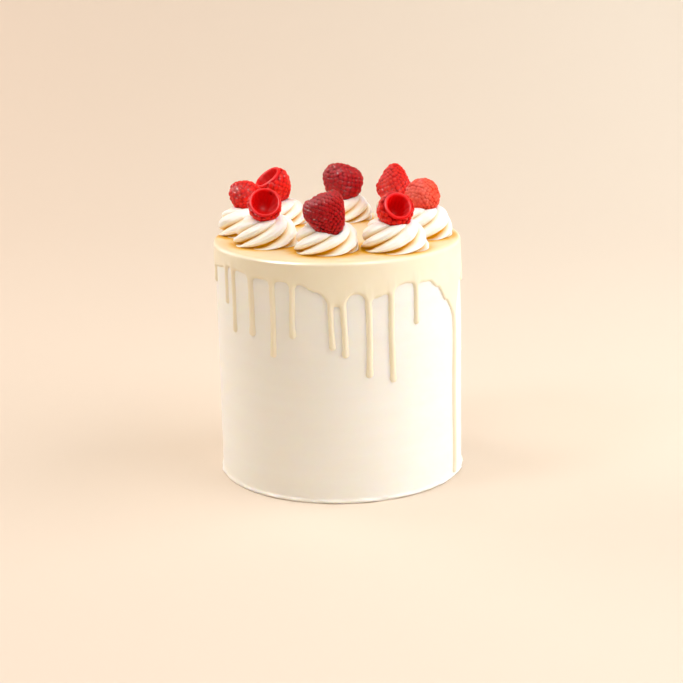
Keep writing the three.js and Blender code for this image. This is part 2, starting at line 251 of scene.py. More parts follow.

# %% [markdown]
# Buttercream is butter whipped with sugar. It is nearly white with a yellow cast, dull to
# satin, and light goes a few millimetres into it, which softens every shadow and warms
# it. A scraper leaves faint level bands on the side. They are drawn by noise stretched
# round the cake, with a much smaller grain of sugar and air on top. Deep between two
# strands the shade is painted golden, for light that has come through the cream and off
# the glaze. The mesh carries a number called "groove" for that: it mixes painted golden
# shade into the cream's colour and adds a faint painted golden glow.

# %% Buttercream and piped cream
def cream_material(name, light, shade, roughness, band_mm, grain_mm, band_height, grain_height):
    """Whipped cream: bands of band_mm run level, and grain_mm is the size of its pits."""
    material, tree = new_material(name)
    where = add(tree, "ShaderNodeTexCoord").outputs["Object"]
    level = add(tree, "ShaderNodeMapping", inputs={"Vector": where, "Scale": (0.12, 0.12, 1.0)})
    bands = add(tree, "ShaderNodeTexNoise", inputs={
        "Vector": level, "Scale": 1 / (band_mm * MM), "Detail": 3.0, "Roughness": 0.5})
    grain = add(tree, "ShaderNodeTexNoise", inputs={
        "Vector": where, "Scale": 1 / (grain_mm * MM), "Detail": 2.0, "Roughness": 0.6})
    tone = add(tree, "ShaderNodeMix", {"data_type": "RGBA"},
               {"Factor": bands, "A": linear(shade), "B": linear(light)})
    # Painted shade: where the groove mask is high, golden shade is mixed into the cream's colour.
    in_groove = add(tree, "ShaderNodeAttribute", {"attribute_name": "groove"})
    shadowed = add(tree, "ShaderNodeMapRange", inputs={
        "Value": in_groove.outputs["Fac"], "From Min": 0.08, "From Max": 0.5})
    groove_painted_shade = add(tree, "ShaderNodeMix", {"data_type": "RGBA"}, {
        "Factor": shadowed, "A": tone.outputs["Result"], "B": linear(GOLD_PAINTED_SHADE)})
    # Painted glow: the square of the groove mask sets a golden emission, a glow that no lamp gives.
    deepest = add(tree, MATH, POWER, [in_groove.outputs["Fac"], 2.0])
    through = add(tree, "ShaderNodeMix", {"data_type": "RGBA"}, {
        "Factor": deepest, "A": linear("000000"), "B": linear(PAINTED_GOLD_GLOW)})
    banded = add(tree, "ShaderNodeBump", inputs={
        "Height": bands, "Distance": band_height * MM, "Strength": 0.6})
    pitted = add(tree, "ShaderNodeBump", inputs={
        "Height": grain, "Distance": grain_height * MM, "Strength": 0.5, "Normal": banded})
    cream = add(tree, "ShaderNodeBsdfPrincipled", inputs={
        "Base Color": groove_painted_shade.outputs["Result"], "Roughness": roughness, "IOR": 1.46,
        "Specular IOR Level": 0.2, "Normal": pitted,
        "Subsurface Weight": 0.5, "Subsurface Radius": (1.0, 0.8, 0.5), "Subsurface Scale": 2.2 * MM,
        "Emission Color": through.outputs["Result"], "Emission Strength": 0.16})
    add(tree, "ShaderNodeOutputMaterial", inputs={"Surface": cream})
    return material


GOLD_PAINTED_SHADE = "eebc28"
PAINTED_GOLD_GLOW = "e8b000"
buttercream = cream_material(
    "scraped buttercream", "fdf9f2", "faf4ea", 0.5, band_mm=9, grain_mm=0.9,
    band_height=0.25, grain_height=0.05)
piped_cream = cream_material(
    "piped whipped cream", "fefbf5", "fdf9f0", 0.5, band_mm=4, grain_mm=0.6,
    band_height=0.05, grain_height=0.04)

# %% [markdown]
# The glaze is white chocolate thinned with cream: ivory yellow, glossy, and thick enough
# to bead at its lower edge. Where it lies deep between the rosettes, golden shade is
# painted into its colour, for light that bounces from wall to wall, with a faint painted
# golden glow. The mesh carries a number called "deep" for that. It is part-way up over
# all of the top, grows towards the foot of each rosette, and is most where two feet are close.

# %% White chocolate glaze
def glaze_material():
    material, tree = new_material("white chocolate glaze")
    where = add(tree, "ShaderNodeTexCoord").outputs["Object"]
    deep = add(tree, "ShaderNodeAttribute", {"attribute_name": "deep"})
    mottle = add(tree, "ShaderNodeTexNoise", inputs={
        "Vector": where, "Scale": 1 / (14 * MM), "Detail": 2.0})
    skin = add(tree, "ShaderNodeMix", {"data_type": "RGBA"},
               {"Factor": mottle, "A": linear("f6e9cc"), "B": linear("faf0d8")})
    # Painted shade: the deep mask mixes golden shade into the glaze colour.
    tone = add(tree, "ShaderNodeMix", {"data_type": "RGBA"},
               {"Factor": deep.outputs["Fac"], "A": skin.outputs["Result"], "B": linear("e0a600")})
    # Painted glow: the square of the deep mask sets a faint golden emission.
    deepest = add(tree, MATH, POWER, [deep.outputs["Fac"], 2.0])
    through = add(tree, "ShaderNodeMix", {"data_type": "RGBA"}, {
        "Factor": deepest, "A": linear("000000"), "B": linear(PAINTED_GOLD_GLOW)})
    ripple = add(tree, "ShaderNodeBump", inputs={
        "Height": mottle, "Distance": 0.25 * MM, "Strength": 0.4})
    chocolate = add(tree, "ShaderNodeBsdfPrincipled", inputs={
        "Base Color": tone.outputs["Result"], "Roughness": 0.36, "IOR": 1.46,
        "Specular IOR Level": 0.35, "Normal": ripple,
        "Subsurface Weight": 0.15, "Subsurface Radius": (1.0, 0.7, 0.28), "Subsurface Scale": 2 * MM,
        "Emission Color": through.outputs["Result"], "Emission Strength": 0.08})
    add(tree, "ShaderNodeOutputMaterial", inputs={"Surface": chocolate})
    return material


glaze = glaze_material()

# %% [markdown]
# A raspberry is a cluster of drupelets, small juice sacks under a thin shiny skin. Red
# light gets through them, so the fruit glows where it is thin. The gaps between them are
# painted nearly black-red, as painted shade. The mesh's "outward" number is 1 at a
# drupelet's top and 0 in the gap beside it. The fruits differ in ripeness, so there are a
# dark, a bright and a pale one, and the hollow where the stalk came out is smooth, with a
# painted red glow for light coming through the flesh from behind.

# %% Raspberry flesh
def raspberry_material(name, top, bloom, gap, glow=0.3, glow_mm=2.5, painted_glow_strength=0.0, roughness=0.08):
    material, tree = new_material(name)
    where = add(tree, "ShaderNodeTexCoord").outputs["Object"]
    outward = add(tree, "ShaderNodeAttribute", {"attribute_name": "outward"})
    ripe = add(tree, "ShaderNodeTexNoise", inputs={
        "Vector": where, "Scale": 1 / (5 * MM), "Detail": 2.0})
    skin = add(tree, "ShaderNodeMix", {"data_type": "RGBA"},
               {"Factor": ripe, "A": linear(top), "B": linear(bloom)})
    # Painted shade: the darker gap colour is mixed in where outward is low, between the drupelets.
    tone = add(tree, "ShaderNodeMix", {"data_type": "RGBA"},
               {"Factor": outward.outputs["Fac"], "A": linear(gap), "B": skin.outputs["Result"]})
    fine = add(tree, "ShaderNodeTexNoise", inputs={
        "Vector": where, "Scale": 1 / (0.6 * MM), "Detail": 1.0})
    dimples = add(tree, "ShaderNodeBump", inputs={
        "Height": fine, "Distance": 0.06 * MM, "Strength": 0.08})
    flesh = add(tree, "ShaderNodeBsdfPrincipled", inputs={
        "Base Color": tone.outputs["Result"], "Roughness": roughness, "IOR": 1.36,
        "Specular IOR Level": 0.25,
        "Subsurface Weight": glow, "Subsurface Radius": (1.0, 0.08, 0.05),
        "Subsurface Scale": glow_mm * MM, "Normal": dimples,
        "Emission Color": linear(bloom), "Emission Strength": painted_glow_strength})
    add(tree, "ShaderNodeOutputMaterial", inputs={"Surface": flesh})
    return material


dark_fruit = raspberry_material("dark ripe raspberry", "aa0309", "c80a10", "6c0206")
bright_fruit = raspberry_material("bright raspberry", "e80c08", "f42a1a", "b80806")
pale_fruit = raspberry_material("pale raspberry", "fa3c24", "ff7054", "e02c1c")
# The hollow's emission is a painted red glow, for light coming through the flesh from behind.
hollow_flesh = raspberry_material(
    "raspberry hollow", "f00a06", "d80406", "8c0004", glow=0.7, glow_mm=5, painted_glow_strength=0.15, roughness=0.5)

# %% [markdown]
# The cake and its glaze are turned shapes with small departures from round. A grid of
# points runs round the axis and along a profile, and numpy moves all of them at once.
# "across" is the azimuth from the front and "rows" the profile.

# %% Turned shapes
def turned_grid(radius, height, azimuths, close_start=True):
    """Points and faces of a turned shell: radius and height are rows x columns arrays.

    The last row is closed to a point on the axis, and the first one too unless told not to.
    """
    rows, columns = radius.shape
    x = radius * np.sin(azimuths)[None, :]
    y = -radius * np.cos(azimuths)[None, :]
    points = np.stack([x, y, height], axis=2).reshape(-1, 3)
    faces = []
    for r in range(rows - 1):
        for c in range(columns):
            n = (c + 1) % columns
            faces.append((r * columns + c, r * columns + n, (r + 1) * columns + n, (r + 1) * columns + c))
    if close_start:
        faces += [(len(points), (c + 1) % columns, c) for c in range(columns)]
        points = np.vstack([points, (0, 0, height[0].mean())])
    last = (rows - 1) * columns
    faces += [(len(points), last + c, last + (c + 1) % columns) for c in range(columns)]
    return np.vstack([points, (0, 0, height[-1].mean())]), faces


def waves(azimuths, heights, seed, count, round_lobes, height_mm):
    """Smooth noise that closes round the cake, from -1 to 1: a sum of seeded sine waves."""
    draw = np.random.default_rng(seed)
    total = np.zeros(np.broadcast(azimuths, heights).shape)
    for _ in range(count):
        lobes = int(draw.integers(1, round_lobes + 1))
        per_mm = 2 * math.pi / (height_mm * draw.uniform(0.7, 2.0))
        total += np.sin(lobes * azimuths + per_mm * heights / MM + draw.uniform(0, 2 * math.pi))
    return total / math.sqrt(count) / 1.6


# %% [markdown]
# The body of the cake is one smoothed coat of buttercream. The scraper leaves it a touch
# out of round, with level bands a tenth of a millimetre deep, and pushes a thin uneven
# ridge out at the foot, where the cream meets the table and comes off in little crumbs.
# The upper part narrows by a millimetre of radius, and leans a little to the left.

# %% The cake leans a little
CAKE_RADIUS = 77.4 * MM
CAKE_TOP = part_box("cake")[1][2]
FOOT_HEIGHT = 4.5 * MM
EDGE_ROUNDING = 2.4 * MM
LEAN_START = 95 * MM
TOP_NARROWING = 1.0 * MM
TOP_LEAN = 0.7 * MM


def leaned(points):
    """Above LEAN_START the cake and its glaze narrow and lean to the left, in a straight line."""
    share = np.clip((points[:, 2] - LEAN_START) / (CAKE_TOP - LEAN_START), 0, None)
    narrowed = 1 - TOP_NARROWING * share / CAKE_RADIUS
    x, y, z = points.T
    return np.column_stack([x * narrowed - TOP_LEAN * share, y * narrowed, z])


# %% Cake body
side = np.linspace(0, 1, 150)
foot_rows = np.linspace(0, FOOT_HEIGHT, 22)
side_rows = FOOT_HEIGHT + (CAKE_TOP - EDGE_ROUNDING - FOOT_HEIGHT) * side[1:]
corner = np.linspace(0, math.pi / 2, 7)[1:]
heights = np.concatenate([[0.0], foot_rows[1:], side_rows, CAKE_TOP - EDGE_ROUNDING * (1 - np.sin(corner))])
radii = np.concatenate([[CAKE_RADIUS - 0.9 * MM], np.full(len(foot_rows) - 1 + len(side_rows), CAKE_RADIUS),
                        CAKE_RADIUS - EDGE_ROUNDING * (1 - np.cos(corner))])
azimuths = np.linspace(0, 2 * math.pi, 360, endpoint=False)
A, Z = np.meshgrid(azimuths, heights)
out_of_round = 0.12 * MM * np.sin(2 * A + 31 * Z) + 0.07 * MM * waves(A, Z, 3, 8, 6, 60)
scraped = 0.05 * MM * waves(A, Z, 5, 14, 3, 9)
ridge = np.exp(-((Z - 1.4 * MM) / (1.1 * MM)) ** 2)
crumbs = np.clip(waves(A, Z, 8, 20, 90, 3.0), 0, 1) * np.exp(-Z / (2.2 * MM))
foot = ridge * (0.75 + 0.5 * waves(A, 0 * Z, 11, 10, 24, 50)) * MM + 0.9 * crumbs * MM
grounded = np.clip(Z / (0.8 * MM), 0, 1)
R = radii[:, None] + out_of_round * grounded + scraped * grounded + foot * grounded
points, faces = turned_grid(R, Z, azimuths)
cake_body = mesh_object("buttercream_cake", leaned(points), faces, buttercream)
print("cake body:", len(faces), "faces, radius", round(float(R[40:-8].mean()) / MM, 2), "mm")

# %% [markdown]
# The glaze was poured on top and pushed over the edge. Rolled out flat, its side is a
# drawing: a band with a wavy lower edge, and drips, each a stripe with a round end. The
# distance to that drawing's outline is easy to work out for every point, and a soft
# minimum of the distances fuses the drips to the band with the small arches of real
# glaze. The thickness then grows from nothing at the outline to full a little way in.

# %% Where the glaze runs
GLAZE_TOP = 150.5 * MM
GLAZE_RADIUS = 78.7 * MM
GLAZE_SHOULDER = 3.0 * MM
FUSE = 3.4 * MM
EDGE_ROUND = 1.9 * MM
BAND_THICKNESS = 1.2 * MM
GLAZE_FOOT = 2.2 * MM

ROSETTE_CENTRES = [
    (-6.9, -43), (33.7, -40), (53.2, -4), (40.2, 39.6), (4.5, 56), (-37, 46.5), (-57.2, 14.5), (-44.5, -19.5)]
ROSETTE_RADII = [22.4, 21.8, 20.2, 18.4, 19.2, 19.8, 22.4, 21.6]

# azimuth in degrees, height of the tip in mm, width in mm
DRIPS = [
    (-62, 117, 2.8), (-55.5, 100.7, 3.4), (-43, 101.4, 4.4), (-31, 90.4, 4.0), (-21, 103.2, 3.8),
    (-3.5, 97.2, 3.3), (2.1, 92.3, 3.6), (13.2, 79.1, 3.8), (24, 74.8, 3.9), (37, 108.4, 3.4),
    (65.6, 2.6, 3.8), (84, 122, 3.4), (97, 70, 4.0), (111, 102, 3.4), (126, 61, 4.1), (143, 98, 3.5),
    (157, 88, 3.8), (168, 52, 3.9), (181, 101, 3.4), (194, 77, 4.0), (208, 91, 3.6),
    (219, 66, 4.1), (231, 104, 3.4), (246, 83, 3.9), (261, 72, 3.7), (281, 126, 3.4),
]
BAND_EDGE = [
    (-58.2, 140.3), (-36.3, 137.5), (-25.8, 137.4), (-16.9, 136.2), (-10.4, 132.3),
    (-0.6, 124), (7.2, 130.9), (15.6, 127.5), (31.4, 134.2), (45.3, 132.6), (51, 127.7),
    (57.6, 117.7), (65.6, 107), (74, 124), (88, 133), (112, 129), (136, 136), (162, 130), (188, 134),
    (214, 127), (238, 135), (264, 131), (286, 137),
]


def band_edge(azimuth_degrees):
    """Height of the band's lower edge, eased from one listed azimuth to the next."""
    knots = BAND_EDGE + [(BAND_EDGE[0][0] + 360, BAND_EDGE[0][1])]
    turn = (azimuth_degrees - knots[0][0]) % 360 + knots[0][0]
    knot_azimuths, knot_heights = zip(*knots)
    k = np.clip(np.searchsorted(knot_azimuths, turn, side="right") - 1, 0, len(knots) - 2)
    start, end = np.array(knot_azimuths)[k], np.array(knot_azimuths)[k + 1]
    share = (turn - start) / (end - start)
    eased = share * share * (3 - 2 * share)
    low, high = np.array(knot_heights)[k], np.array(knot_heights)[k + 1]
    return (low + (high - low) * eased) * MM


def soft_minimum(a, b, reach):
    """The smaller of a and b, rounded where they are within reach of each other."""
    blend = np.clip(0.5 + 0.5 * (b - a) / reach, 0, 1)
    return b + (a - b) * blend - reach * blend * (1 - blend)


# %% Glaze thickness
COLUMNS = 800
azimuths = np.linspace(0, 2 * math.pi, COLUMNS, endpoint=False)
side_top = GLAZE_TOP - GLAZE_SHOULDER
side_heights = np.arange(GLAZE_FOOT, side_top, 0.8 * MM)
A, Z = np.meshgrid(azimuths, side_heights)
degrees = np.degrees(A)
distance = band_edge(degrees) - Z
drip_share = np.zeros_like(Z)
for azimuth, tip, width in DRIPS:
    offset = ((degrees - azimuth + 180) % 360 - 180) * math.pi / 180 * GLAZE_RADIUS
    sway = 0.35 * MM * np.sin(Z / (11 * MM) + azimuth)
    half = width / 2 * MM
    swell = 1 + 0.18 * np.exp(-((Z - (tip * MM + half)) / (3.2 * MM)) ** 2)
    below_tip = np.minimum(Z - (tip * MM + half), 0)
    to_drip = np.hypot(offset + sway, below_tip) - half * swell
    distance = soft_minimum(to_drip, distance, FUSE)
    below_band = np.clip((band_edge(degrees) + 9 * MM - Z) / (9 * MM), 0, 1)
    drip_share = np.maximum(drip_share, np.exp(-np.maximum(to_drip, 0) / MM) * swell * below_band)
inside = np.clip(-distance / EDGE_ROUND, 0, 1)
thickness = (BAND_THICKNESS + 0.35 * MM * drip_share) * np.sqrt(1 - (1 - inside) ** 2)
sunk = np.clip(distance / (0.8 * MM), 0, 1) * 0.9 * MM
ripples = 0.06 * MM * waves(A, Z, 21, 10, 14, 22) * inside
side_radius = CAKE_RADIUS + thickness - sunk + ripples
print("thickest drip:", round(float(thickness.max()) / MM, 2), "mm; glazed share of the side:",
      round(float((distance < 0).mean()), 3))

# %% Glaze over the top
over = np.linspace(0, math.pi / 2, 8)[1:]
shoulder_radius = GLAZE_RADIUS - GLAZE_SHOULDER * (1 - np.cos(over))
shoulder_height = side_top + GLAZE_SHOULDER * np.sin(over)
flat_radius = np.array([74.5, 72, 69, 64, 58, 52, 46, 40, 33, 26, 18, 10, 4]) * MM
top_radius = np.concatenate([shoulder_radius, flat_radius])
top_height = np.concatenate([shoulder_height, np.full(len(flat_radius), GLAZE_TOP)])
A2, _ = np.meshgrid(azimuths, top_radius)
top_waves = waves(A2, top_radius[:, None] + 0 * A2, 31, 8, 5, 40)
lip = 0.12 * MM * np.exp(-((top_radius - 75.6 * MM) / (1.5 * MM)) ** 2)
top_heights = top_height[:, None] + lip[:, None] + 0.08 * MM * top_waves
uneven = 0.1 * MM * waves(A2, 0 * A2, 33, 6, 7, 40) * (top_radius[:, None] > 70 * MM)
radius = np.vstack([side_radius, top_radius[:, None] + uneven])
height = np.vstack([Z, top_heights])
points, faces = turned_grid(radius, height, azimuths, close_start=False)
points = leaned(points)
wet = np.concatenate([(distance < 1.0 * MM).ravel(), np.ones(len(points) - distance.size, bool)])
faces = [f for f in faces if all(wet[k] for k in f)]
kept = sorted({k for f in faces for k in f})
renumber = {old: new for new, old in enumerate(kept)}
glaze_skin = mesh_object(
    "white_chocolate_glaze", points[kept], [[renumber[k] for k in f] for f in faces], glaze)
# Painted shade on the glaze top: some gold everywhere on it, more near each rosette's foot.
PAINTED_SHADE_ON_TOP, PAINTED_SHADE_AT_FOOT = 0.3, 0.65
PAINTED_SHADE_REACH = 2.0 * MM
on_top = np.clip((points[kept][:, 2] - (GLAZE_TOP - 1.2 * MM)) / (1.0 * MM), 0, 1)
closeness = 0
for (x, y), r in zip(ROSETTE_CENTRES, ROSETTE_RADII):
    to_foot = np.hypot(points[kept][:, 0] - x * MM, points[kept][:, 1] - y * MM) - r * MM
    closeness = closeness + np.exp(-np.clip(to_foot, 0, None) / PAINTED_SHADE_REACH)
deep = on_top * np.clip(PAINTED_SHADE_ON_TOP + PAINTED_SHADE_AT_FOOT * closeness, 0, 1)
glaze_skin.data.attributes.new("deep", "FLOAT", "POINT").data.foreach_set("value", deep)
print("glaze:", len(faces), "faces")

# %% [markdown]
# A rosette is piped through a star nozzle: the baker holds it still, turns once and pulls
# up. Its six strands start as separate fingers at the foot and twist up into the crown.
# The shape follows a rule, so Geometry Nodes make it from a flat grid. One direction of
# the grid runs round the rosette and the other from foot to crown. Curves give the
# radius and height along a strand, and half circles side by side make the strands round.

# %% Geometry Nodes helpers
def shape_tree(name, inputs):
    """A new Geometry Nodes tree with named inputs, its input node and its output node."""
    tree = bpy.data.node_groups.new(name, "GeometryNodeTree")
    for title, (kind, value) in inputs.items():
        socket = tree.interface.new_socket(title, in_out="INPUT", socket_type=kind)
        if value is not None:
            socket.default_value = value
    tree.interface.new_socket("Geometry", in_out="OUTPUT", socket_type="NodeSocketGeometry")
    return tree, add(tree, "NodeGroupInput").outputs, add(tree, "NodeGroupOutput")


def made_by(tree, name, values):
    """Runs a tree with these values and returns the result as a plain mesh object."""
    holder = bpy.data.objects.new(name, bpy.data.meshes.new(name + "_start"))
    bpy.context.collection.objects.link(holder)
    modifier = holder.modifiers.new("shape", "NODES")
    modifier.node_group = tree
    sockets = {s.name: s.identifier for s in tree.interface.items_tree if s.in_out == "INPUT"}
    for title, value in values.items():
        modifier[sockets[title]] = value
    evaluated = holder.evaluated_get(bpy.context.evaluated_depsgraph_get())
    mesh = bpy.data.meshes.new_from_object(evaluated)
    holder.modifiers.remove(modifier)
    holder.data = mesh
    mesh.name = name
    return holder


CURVE = "ShaderNodeFloatCurve"


def set_curve(node, pairs):
    """Draws a Float Curve through these points. It turns a share from 0 to 1 into another."""
    curve = node.mapping.curves[0]
    while len(curve.points) < len(pairs):
        curve.points.new(0.5, 0.5)
    for point, (x, y) in zip(curve.points, pairs):
        point.location = (x, y)
    node.mapping.update()


# %% The swirl tree: along and across a strand
FLOAT = "NodeSocketFloat"
swirl, given, made = shape_tree("piped_swirl", {
    "Radius": (FLOAT, 0.02), "Height": (FLOAT, 0.019), "Strands": (FLOAT, 6.0),
    "Twist": (FLOAT, 2.88), "Valley": (FLOAT, 0.46), "Phase": (FLOAT, 0.0), "Seed": (FLOAT, 0.0),
    "Material": ("NodeSocketMaterial", None)})
COLUMNS_ROUND, ROWS_UP = 6 * 32 + 1, 80
sheet = add(swirl, "GeometryNodeMeshGrid", inputs={
    "Size X": 1.0, "Size Y": 1.0, "Vertices X": COLUMNS_ROUND, "Vertices Y": ROWS_UP})
place = add(swirl, "ShaderNodeSeparateXYZ", inputs=[add(swirl, "GeometryNodeInputPosition")])
around = add(swirl, MATH, PLUS, [place.outputs["X"], 0.5])
up = add(swirl, MATH, PLUS, [place.outputs["Y"], 0.5])
height, radius, valley, finger, width = (add(swirl, CURVE, inputs={"Value": up}) for _ in range(5))
set_curve(height, [
    (0, 0), (0.06, 0.02), (0.2, 0.16), (0.42, 0.44), (0.62, 0.70), (0.8, 0.89), (0.92, 0.985), (1, 1)])
set_curve(radius, [
    (0, 0.95), (0.06, 0.99), (0.12, 1), (0.25, 0.97), (0.42, 0.9), (0.6, 0.8), (0.79, 0.62),
    (0.92, 0.36), (1, 0)])
set_curve(valley, [(0, 1), (0.1, 0.92), (0.28, 0.72), (0.45, 0.6), (0.65, 0.53), (0.85, 0.45), (1, 0.25)])
set_curve(finger, [(0, 1), (0.12, 0.92), (0.28, 0.6), (0.45, 0.3), (0.65, 0.1), (0.8, 0), (1, 0)])
set_curve(width, [(0, 0.62), (0.1, 0.72), (0.28, 0.92), (0.45, 1), (1, 1)])
lane = add(swirl, MATH, TIMES, [around, given["Strands"]])
across = add(swirl, MATH, TIMES_PLUS, [add(swirl, MATH, FRACTION, [lane]), 2.0, -1.0])
narrow = add(swirl, MATH, OVER, [across, width])
squared = add(swirl, MATH, TIMES, [add(swirl, MATH, TIMES, [narrow, narrow]), 0.95])
crest = add(swirl, MATH, ROOT, [add(swirl, MATH, LARGER, [add(swirl, MATH, MINUS, [1.0, squared]), 0.0])])
trough = add(swirl, MATH, MINUS, [1.0, crest])

# %% The swirl tree: a hand is never quite even
# Each strand has its own number, and its sine is as good as a throw of dice.
strand_seed = add(swirl, MATH, TIMES_PLUS, [given["Seed"], 4.1, 1.0])
chance = add(swirl, MATH, SINE, [
    add(swirl, MATH, TIMES_PLUS, [add(swirl, MATH, FLOOR, [lane]), 12.9, strand_seed])])
loose_end = add(swirl, MATH, TIMES, [finger, crest])
cut = add(swirl, MATH, TIMES, [trough, add(swirl, MATH, TIMES, [valley, given["Valley"]])])
shortened = add(swirl, MATH, TIMES, [loose_end, add(swirl, MATH, TIMES_PLUS, [chance, 0.06, 0.06])])
swayed = add(swirl, MATH, TIMES, [add(swirl, MATH, TIMES, [loose_end, chance]), math.radians(6)])
start = add(swirl, MATH, TIMES, [
    add(swirl, MATH, MINUS, [around, add(swirl, MATH, OVER, [0.5, given["Strands"]])]), 2 * math.pi])
crowded = add(swirl, MATH, TIMES, [
    add(swirl, MATH, SINE, [add(swirl, MATH, TIMES_PLUS, [start, 2.0, given["Seed"]])]), math.radians(5)])
furrow = add(swirl, MATH, TIMES, [
    add(swirl, MATH, SINE, [add(swirl, MATH, TIMES, [across, 14.0])]), 0.005])

# %% The swirl tree: radius, angle and height become a place
aimed = add(swirl, MATH, PLUS, [
    add(swirl, MATH, PLUS, [start, given["Phase"]]), add(swirl, MATH, PLUS, [crowded, swayed])])
turned_up = add(swirl, MATH, TIMES, [add(swirl, MATH, POWER, [up, 0.8]), given["Twist"]])
angle = add(swirl, MATH, PLUS, [aimed, turned_up])
sine, cosine = add(swirl, MATH, SINE, [angle]), add(swirl, MATH, COSINE, [angle])
noise_place = add(swirl, "ShaderNodeCombineXYZ", inputs=[sine, cosine, add(swirl, MATH, TIMES, [up, 1.5])])
sag = add(swirl, "ShaderNodeTexNoise", {"noise_dimensions": "4D"}, {
    "Vector": noise_place, "W": given["Seed"], "Scale": 1.3, "Detail": 1.0})
bulge = add(swirl, MATH, TIMES_PLUS, [add(swirl, MATH, MINUS, [sag, 0.55]), 0.2, 1.0])
fullness = add(swirl, MATH, MINUS, [
    add(swirl, MATH, PLUS, [1.0, furrow]), add(swirl, MATH, PLUS, [cut, shortened])])
spread = add(swirl, MATH, TIMES, [
    add(swirl, MATH, TIMES, [radius, fullness]), add(swirl, MATH, TIMES, [bulge, given["Radius"]])])
dip = add(swirl, MATH, TIMES, [add(swirl, MATH, TIMES, [cut, add(swirl, MATH, POWER, [up, 2.0])]), -0.3])
rise = add(swirl, MATH, TIMES, [
    add(swirl, MATH, LARGER, [add(swirl, MATH, PLUS, [height, dip]), 0.0]), given["Height"]])
swirl_place = add(swirl, "ShaderNodeCombineXYZ", inputs=[
    add(swirl, MATH, TIMES, [sine, spread]),
    add(swirl, MATH, TIMES, [add(swirl, MATH, TIMES, [cosine, spread]), -1.0]), rise])
# The groove mask is high in the valleys between strands near the foot; there golden shade and a glow are
# painted on the cream.
low_trough = add(swirl, MATH, TIMES, [trough, add(swirl, MATH, TIMES_PLUS, [up, -1.0, 1.0])])
grooved = add(swirl, "GeometryNodeStoreNamedAttribute", {"data_type": "FLOAT", "domain": "POINT"}, {
    "Geometry": sheet, "Name": "groove", "Value": low_trough})
swirled = add(swirl, "GeometryNodeSetPosition", inputs={"Geometry": grooved, "Position": swirl_place})
closed = add(swirl, "GeometryNodeMergeByDistance", inputs={"Geometry": swirled, "Distance": 0.01 * MM})
smooth = add(swirl, "GeometryNodeSetShadeSmooth", inputs={"Geometry": closed})
plain = add(swirl, "GeometryNodeRealizeInstances", inputs={"Geometry": smooth})
finished = add(swirl, "GeometryNodeSetMaterial", inputs={"Geometry": plain, "Material": given["Material"]})
swirl.links.new(finished.outputs[0], made.inputs[0])
print("swirl tree:", len(swirl.nodes), "nodes")

# %% [markdown]
# Every rosette stands on the glaze in a ring. Its neighbours press it flat where they
# touch, and the berry presses a seat into its crown: each point inside the berry's
# outline is pushed out to it. So the outlines of the berries come first. Each is a
# thimble, blunt at the open end, and narrows a little or a lot towards its tip.

# %% Berry outlines
# centre in mm, direction of the tip, width and length in mm, how much it narrows, radius
# of the empty core as a share of the width (0 where it is hidden), material
BERRIES = [
    ((-6.4, -50.5, 172.9), (0.42, -0.32, -0.85), 26.5, 29, 0.28, 0, dark_fruit),
    ((33.8, -41.5, 172.5), (-0.30, 0.76, -0.57), 23, 21.5, 0.1, 0.3, bright_fruit),
    ((54.2, -4.5, 174.1), (0.36, -0.86, -0.30), 22.6, 23, 0.15, 0, pale_fruit),
    ((37.2, 38.0, 178.0), (0.10, -0.15, 0.98), 23.4, 25.6, 0.38, 0, bright_fruit),
    ((2.4, 54.0, 176.0), (-0.62, -0.30, 0.72), 27, 28, 0.2, 0, dark_fruit),
    ((-39.8, 46.0, 173.4), (0.55, 0.25, -0.79), 24, 23, 0.12, 0.32, bright_fruit),
    ((-59.7, 16.0, 175.1), (-0.62, -0.52, 0.58), 20.5, 21, 0.12, 0, bright_fruit),
    ((-44.7, -22.5, 173.7), (-0.10, 0.82, -0.56), 21.6, 20, 0.08, 0.36, bright_fruit),
]
BELOW_SHARE, ABOVE_SHARE = 0.3, 0.68
BLUNTNESS = 0.85
RIM_WIDTH = 0.08


def outline(angle, width=1.0, length=1.0, taper=0.0):
    """Radius and height of a berry's outline at an angle up from its widest ring."""
    reach = BELOW_SHARE if angle < 0 else ABOVE_SHARE
    narrowed = 1 - taper * max(0.0, math.sin(angle))
    return width / 2 * math.cos(angle) ** BLUNTNESS * narrowed, reach * length * math.sin(angle)


def berry_turn(tip):
    """The turn that takes a berry made upright to the way this one points."""
    return np.array(Vector((0, 0, 1)).rotation_difference(Vector(tip).normalized()).to_matrix())


def coordinates(piece):
    flat = np.empty(len(piece.data.vertices) * 3)
    piece.data.vertices.foreach_get("co", flat)
    return flat.reshape(-1, 3)


def set_coordinates(piece, points):
    piece.data.vertices.foreach_set("co", points.ravel())
    piece.data.update()


# %% Rosettes
ROSETTE_HEIGHTS = [17.4, 18.6, 19.4, 19.2, 17.0, 15.4, 16.6, 17.8]
ROSETTE_PHASES = [-9, -2, 12, -20, 17, 5, 24, -8]
ROSETTE_FLOOR = GLAZE_TOP + 0.1 * MM
NEIGHBOUR_GAP = 0.2 * MM
ROSETTE_LIMIT = 76.2 * MM

